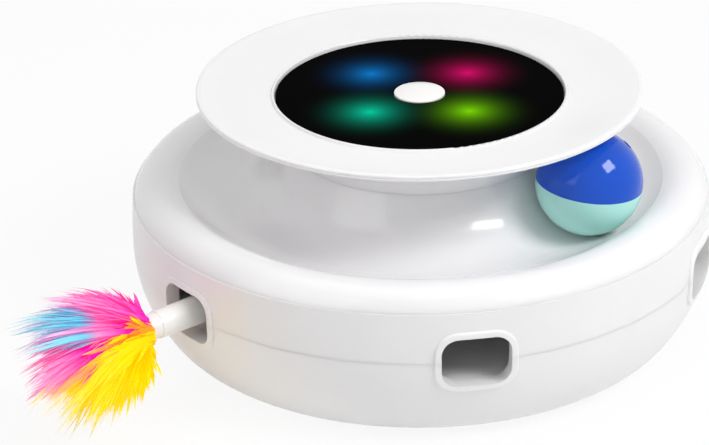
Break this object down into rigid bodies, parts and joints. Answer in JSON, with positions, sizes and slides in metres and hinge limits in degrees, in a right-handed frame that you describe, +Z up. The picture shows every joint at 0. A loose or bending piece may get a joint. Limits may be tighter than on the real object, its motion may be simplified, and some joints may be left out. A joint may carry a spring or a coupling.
{
  "type": "automatic cat toy",
  "caption": "Round automatic cat toy: a feather wand swings out of windows in its side, a ball rolls in an open track, and a raised disc carries a smoked lamp panel and a button.",
  "frame": {"origin": "on the floor, on the axis of the round housing", "axes": "+Z up along the housing's axis; -Y is the front, through the middle of the front window; +X is to the right seen from the front"},
  "size_m": [0.2834, 0.2316, 0.1004],
  "materials": {
    "white_abs": "glossy",
    "panel_smoke": "glossy, smoked",
    "circuit_board": "solder mask",
    "lamp_pink": "glossy",
    "lamp_blue": "glossy",
    "lamp_teal": "glossy",
    "lamp_green": "glossy",
    "black_plastic": "matte",
    "grey_acetal": "matte",
    "steel": "satin",
    "cell_wrap": "shrink wrap",
    "rubber": "matte",
    "blue_plastic": "glossy",
    "mint_plastic": "glossy",
    "feathers": "soft"
  },
  "bodies": {
    "housing": {"bottom_shell": "white_abs", "side_shell": "white_abs", "track_dish": "white_abs", "disc_bowl": "white_abs", "disc_plate": "white_abs", "light_panel": "panel_smoke", "lamp_board": "circuit_board", "lamp_pink": "lamp_pink", "lamp_blue": "lamp_blue", "lamp_teal": "lamp_teal", "lamp_green": "lamp_green", "switch_base": "black_plastic", "center_post": "grey_acetal", "thrust_washer": "black_plastic", "post_clip": "steel", "gearbox": "grey_acetal", "motor_can": "steel", "battery_cell": "cell_wrap", "battery_cradle": "black_plastic", "control_board": "circuit_board", "charging_socket": "steel", "rubber_feet": "rubber", "case_screws": "steel", "dish_screws": "steel", "hub_screws": "steel", "board_screws": "steel", "plate_screws": "steel", "control_screws": "steel"},
    "rotor": {"turntable": "grey_acetal", "drive_wheel": "grey_acetal", "wand_keeper": "grey_acetal"},
    "wand": {"wand_arm": "grey_acetal", "wand_tube": "white_abs", "wand_cap": "white_abs", "feather_plume": "feathers"},
    "pinion": {"motor_pinion": "grey_acetal", "output_shaft": "steel"},
    "button": {"power_button": "white_abs", "switch_plunger": "black_plastic"},
    "track_bell": {"ball_bell": "steel"},
    "track_ball": {"ball_top": "blue_plastic", "ball_bottom": "mint_plastic"}
  },
  "joints": [
    {"name": "rotor_turn", "type": "hinge", "parent": "housing", "child": "rotor", "pos_m": [0, 0, 0.0272], "axis": [0, 0, 1], "range_deg": [0, 64]},
    {"name": "wand_swing", "type": "hinge", "parent": "rotor", "child": "wand", "pos_m": [-0.05196, -0.03, 0.0384], "axis": [0, 0, 1], "range_deg": [-125, 0], "deforming": ["feather_plume"]},
    {"name": "pinion_spin", "type": "hinge", "parent": "housing", "child": "pinion", "pos_m": [0.03, 0, 0.0247], "axis": [0, 0, 1], "range_deg": [-260, 0]},
    {"name": "button_press", "type": "slide", "parent": "housing", "child": "button", "axis": [0, 0, -1], "range_m": [0, 0.0006], "stiffness_N_per_m": 600, "springref_m": -0.0015},
    {"name": "ball_orbit", "type": "hinge", "parent": "housing", "child": "track_bell", "pos_m": [0, 0, 0.076], "axis": [0, 0, 1], "continuous": true},
    {"name": "ball_roll", "type": "hinge", "parent": "track_bell", "child": "track_ball", "pos_m": [0.05604, -0.05135, 0.076], "axis": [0.7373, -0.6756, 0], "continuous": true}
  ],
  "couplings": [
    {"joint": "wand_swing", "follows": "rotor_turn", "ratio": -1.95},
    {"joint": "pinion_spin", "follows": "rotor_turn", "ratio": -4},
    {"joint": "ball_roll", "follows": "ball_orbit", "ratio": -3.7076}
  ]
}
